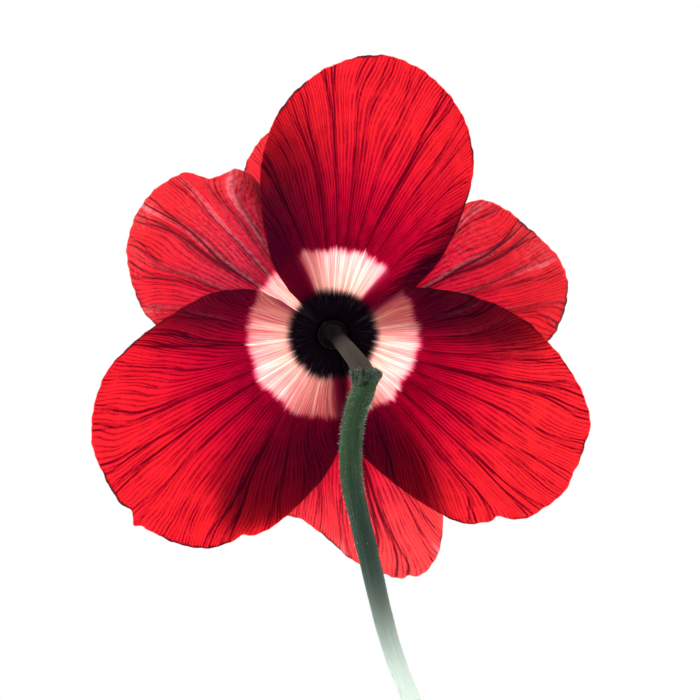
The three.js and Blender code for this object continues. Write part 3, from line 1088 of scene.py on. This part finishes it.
def dark_paint(name, low, high, size):
    """A dull blue-black finish with a little pale dust on it."""
    paint = Paint(name)
    coords = paint.node("ShaderNodeTexCoord", out="Object")
    cloud = paint.noise(coords, size, 3.0)
    dust_and_sheen = paint.noise(coords, size * 9, 1.0)
    colour = paint.mix(cloud.step(0.35, 0.65), low, high)
    colour = paint.mix(dust_and_sheen.step(0.58, 0.75) * 0.5, colour, (0.16, 0.13, 0.20, 1.0))
    bump = paint.node(
        "ShaderNodeBump", sockets={"Strength": 0.5, "Distance": 0.0001, "Height": dust_and_sheen}
    )
    skin = paint.node(
        "ShaderNodeBsdfPrincipled",
        sockets={"Base Color": colour, "Roughness": 0.7 + (dust_and_sheen - 0.5) * 0.3, "Normal": bump},
    )
    return paint.show(skin)


pistils.data.materials.append(
    dark_paint("pistil wool", (0.008, 0.006, 0.012, 1.0), (0.030, 0.020, 0.045, 1.0), 700.0)
)

# ---------------------------------------------------------------------------
# Stamens. Loose rings of thin dark filaments around the dome, each with a fat
# two-lobed blue-black anther at its end. They grow from the stem's end.
# ---------------------------------------------------------------------------
STAMEN_RINGS = [
    {"name": "stamen_1", "count": 24, "root": 4.4, "high": 11.0, "lean": 34, "length": 8.6},
    {"name": "stamen_2", "count": 16, "root": 3.65, "high": 10.4, "lean": 14, "length": 6.4},
]
LOOSE_STAMENS = 64
ANTHER_LENGTH = 1.7
ANTHER_RADIUS = 0.40
ANTHER_ROWS = 11
ANTHER_SIDES = 12
ANTHER_DARK = (0.010, 0.007, 0.018, 1.0)
ANTHER_LIGHT = (0.035, 0.026, 0.060, 1.0)
FILAMENT_ROWS = 9
FILAMENT_SIDES = 6


def stamen(turn, root_radius, high, lean, length):
    """The points and faces of one stamen, which bends a little on its way out."""
    out = np.array([math.cos(turn), math.sin(turn), 0.0])
    aside = np.array([-math.sin(turn), math.cos(turn), 0.0])
    way = out * math.sin(lean) - np.array([0, 0, math.cos(lean)])
    root = out * root_radius + (0, 0, high)
    share = np.linspace(0, 1, FILAMENT_ROWS)[:, None]
    bow = aside * draw.uniform(-0.35, 0.35) + out * draw.uniform(-0.1, 0.45)
    filament = root + way * share * (length - ANTHER_LENGTH) + bow * np.sin(np.pi * share)
    stalk = tube(filament, np.linspace(0.14, 0.08, FILAMENT_ROWS), FILAMENT_SIDES)

    tilt = way + aside * draw.uniform(-0.35, 0.35) + out * draw.uniform(-0.25, 0.25)
    tilt = tilt / np.linalg.norm(tilt)
    share = np.linspace(0, 1, ANTHER_ROWS)
    lobes = filament[-1] - tilt * 0.15 + tilt * share[:, None] * ANTHER_LENGTH
    plump = ANTHER_RADIUS * np.sqrt(np.maximum(1 - (2 * share - 1) ** 4, 0.002))
    round_it = np.linspace(0, 2 * np.pi, ANTHER_SIDES, endpoint=False)
    groove = 0.24 * (np.cos(2 * round_it) - 1)
    return [stalk, tube(lobes, plump, ANTHER_SIDES, groove * plump[:, None])]


for order, facts in enumerate(STAMEN_RINGS):
    parts = []
    for i in range(facts["count"]):
        turn = 2 * math.pi * (i + order / 2) / facts["count"]
        lean = math.radians(facts["lean"])
        parts += stamen(turn, facts["root"], facts["high"], lean, facts["length"])
    made = solid(facts["name"] + "_ring", "stamen", *gather(parts))
    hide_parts(*[f"{facts['name']}_{i + 1:02d}" for i in range(facts["count"])])
    made.data.materials.append(dark_paint(facts["name"], ANTHER_DARK, ANTHER_LIGHT, 500.0))

# The others stand among the two rings, each at a lean and length of its own.
parts = []
for i in range(LOOSE_STAMENS):
    parts += stamen(
        i * GOLDEN_ANGLE,
        draw.uniform(3.7, 4.6),
        draw.uniform(10.4, 11.2),
        math.radians(draw.uniform(8, 44)),
        draw.uniform(5.8, 8.8),
    )
loose = solid("stamen_others", "stamen", *gather(parts))
loose.data.materials.append(dark_paint("stamen others", ANTHER_DARK, ANTHER_LIGHT, 500.0))
